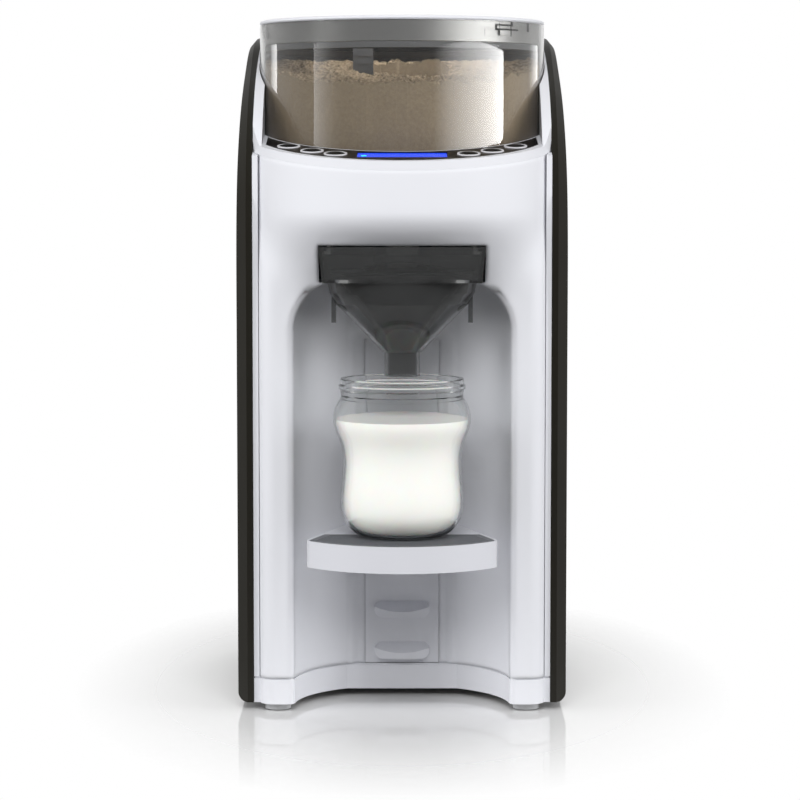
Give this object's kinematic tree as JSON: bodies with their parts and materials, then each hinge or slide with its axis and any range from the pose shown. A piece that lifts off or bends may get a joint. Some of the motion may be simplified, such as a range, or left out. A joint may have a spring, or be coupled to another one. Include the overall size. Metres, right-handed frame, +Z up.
{
  "type": "baby formula maker",
  "caption": "Counter-top formula maker: clear powder container over a dosing drive, funnel in a pull-out holder, arched bottle bay with a movable tray, water tank behind.",
  "frame": {"origin": "on the counter, below the middle of the machine's outline", "axes": "+X to the user's right, +Y to the back, +Z up"},
  "size_m": [0.1906, 0.33, 0.3995],
  "materials": {
    "white_shell": "glossy white moulding",
    "charcoal_panel": "satin charcoal",
    "grey_insert": "satin light grey",
    "smoke_clear": "clear smoke plastic",
    "clear_bottle": "clear bottle plastic",
    "clear_tank": "clear tank plastic",
    "dark_funnel": "dark smoke plastic",
    "black_gloss": "glossy black",
    "button_cap": "glossy dark grey",
    "bezel_chrome": "bright plated",
    "display_face": "blue display face",
    "circuit_board": "green board",
    "machine_white": "plain inner moulding",
    "acetal": "natural acetal",
    "steel": "plain steel",
    "motor_can": "plated can",
    "silver_ring": "brushed silver",
    "grey_rubber": "soft grey rubber",
    "dark_rubber": "dark rubber",
    "tube_silicone": "silicone tube",
    "powder": "fine tan powder",
    "milk_white": "milk",
    "fin_grey": "pale blue-grey",
    "grille_grey": "dark grey"
  },
  "bodies": {
    "housing": {"front_shell": "white_shell", "height_panel": "grey_insert", "rear_shell": "white_shell", "left_side_panel": "charcoal_panel", "right_side_panel": "charcoal_panel", "top_housing": "white_shell", "control_panel": "black_gloss", "button_bezels": "bezel_chrome", "display": "display_face", "control_board": "circuit_board", "deck_frame": "machine_white", "drive_bush": "acetal", "gear_plate": "steel", "dosing_motor": "motor_can", "dispenser_frame": "machine_white", "water_nozzle": "acetal", "base_skirt": "white_shell", "base_plate": "machine_white", "case_screws": "steel", "feet": "dark_rubber", "tank_dock": "charcoal_panel", "dock_seal": "grey_rubber", "cord_inlet": "dark_rubber", "chassis_frame": "steel", "water_pump": "machine_white", "heater": "steel", "flow_meter": "machine_white", "cold_tubes": "tube_silicone", "hot_water_tube": "tube_silicone", "power_board": "circuit_board"},
    "container": {"powder_container": "smoke_clear", "container_base": "smoke_clear", "outlet_cover": "machine_white", "formula_powder": "powder"},
    "mixer": {"stirrer": "fin_grey", "dosing_wheel": "acetal"},
    "lid_seal": {"lid_gasket": "grey_rubber"},
    "lid": {"lid_cap": "white_shell", "lid_plug": "white_shell", "lid_skirt": "silver_ring"},
    "drive": {"drive_gear": "acetal"},
    "motor_pinion": {"pinion": "acetal"},
    "funnel_drawer": {"funnel_holder": "dark_funnel", "funnel": "dark_funnel", "funnel_cover": "dark_funnel"},
    "tray": {"tray_body": "white_shell", "tray_grille": "grille_grey"},
    "bottle_body": {"bottle": "clear_bottle", "milk": "milk_white"},
    "tank": {"water_tank": "clear_tank", "valve_spring": "steel", "tank_lid_pin": "steel"},
    "tank_cover": {"tank_lid": "charcoal_panel"},
    "valve": {"tank_valve": "machine_white"},
    "key_1": {"button_1": "button_cap"},
    "key_2": {"button_2": "button_cap"},
    "key_3": {"button_3": "button_cap"},
    "key_4": {"button_4": "button_cap"},
    "key_5": {"button_5": "button_cap"},
    "key_6": {"button_6": "button_cap"}
  },
  "joints": [
    {"name": "container_lift", "type": "slide", "parent": "housing", "child": "container", "axis": [0, 0, 1], "range_m": [0, 0.12]},
    {"name": "mixer_spin", "type": "hinge", "parent": "container", "child": "mixer", "pos_m": [0, -0.04, 0.3], "axis": [0, 0, 1], "continuous": true},
    {"name": "lid_lift", "type": "slide", "parent": "container", "child": "lid_seal", "axis": [0, 0, 1], "range_m": [0, 0.04]},
    {"name": "lid_turn", "type": "hinge", "parent": "lid_seal", "child": "lid", "pos_m": [0, -0.04, 0.39], "axis": [0, 0, 1], "range_deg": [-7.5, 0]},
    {"name": "drive_spin", "type": "hinge", "parent": "housing", "child": "drive", "pos_m": [0, -0.04, 0.286], "axis": [0, 0, 1], "continuous": true},
    {"name": "pinion_spin", "type": "hinge", "parent": "housing", "child": "motor_pinion", "pos_m": [0, -0.001, 0.286], "axis": [0, 0, 1], "continuous": true},
    {"name": "funnel_pull", "type": "slide", "parent": "housing", "child": "funnel_drawer", "axis": [0, -1, 0], "range_m": [0, 0.08]},
    {"name": "tray_pull", "type": "slide", "parent": "housing", "child": "tray", "axis": [0, -1, 0], "range_m": [0, 0.07]},
    {"name": "bottle_pull", "type": "slide", "parent": "tray", "child": "bottle_body", "axis": [0, -1, 0], "range_m": [0, 0.12]},
    {"name": "tank_lift", "type": "slide", "parent": "housing", "child": "tank", "axis": [0, 0, 1], "range_m": [0, 0.12]},
    {"name": "tank_lid_hinge", "type": "hinge", "parent": "tank", "child": "tank_cover", "pos_m": [0, 0.1049, 0.3902], "axis": [1, 0, 0], "range_deg": [0, 95]},
    {"name": "tank_valve_slide", "type": "slide", "parent": "tank", "child": "valve", "axis": [0, 0, 1], "range_m": [0, 0.003], "stiffness_N_per_m": 250, "springref_m": -0.002, "deforming": ["valve_spring"]},
    {"name": "button_1_press", "type": "slide", "parent": "housing", "child": "key_1", "axis": [0, 0.1676, -0.9859], "range_m": [0, 0.0008], "stiffness_N_per_m": 1500, "springref_m": -0.0004},
    {"name": "button_2_press", "type": "slide", "parent": "housing", "child": "key_2", "axis": [0, 0.1676, -0.9859], "range_m": [0, 0.0008], "stiffness_N_per_m": 1500, "springref_m": -0.0004},
    {"name": "button_3_press", "type": "slide", "parent": "housing", "child": "key_3", "axis": [0, 0.1676, -0.9859], "range_m": [0, 0.0008], "stiffness_N_per_m": 1500, "springref_m": -0.0004},
    {"name": "button_4_press", "type": "slide", "parent": "housing", "child": "key_4", "axis": [0, 0.1676, -0.9859], "range_m": [0, 0.0008], "stiffness_N_per_m": 1500, "springref_m": -0.0004},
    {"name": "button_5_press", "type": "slide", "parent": "housing", "child": "key_5", "axis": [0, 0.1676, -0.9859], "range_m": [0, 0.0008], "stiffness_N_per_m": 1500, "springref_m": -0.0004},
    {"name": "button_6_press", "type": "slide", "parent": "housing", "child": "key_6", "axis": [0, 0.1676, -0.9859], "range_m": [0, 0.0008], "stiffness_N_per_m": 1500, "springref_m": -0.0004}
  ],
  "couplings": [
    {"joint": "pinion_spin", "follows": "drive_spin", "ratio": -3.3333},
    {"joint": "mixer_spin", "follows": "drive_spin", "ratio": 1}
  ]
}
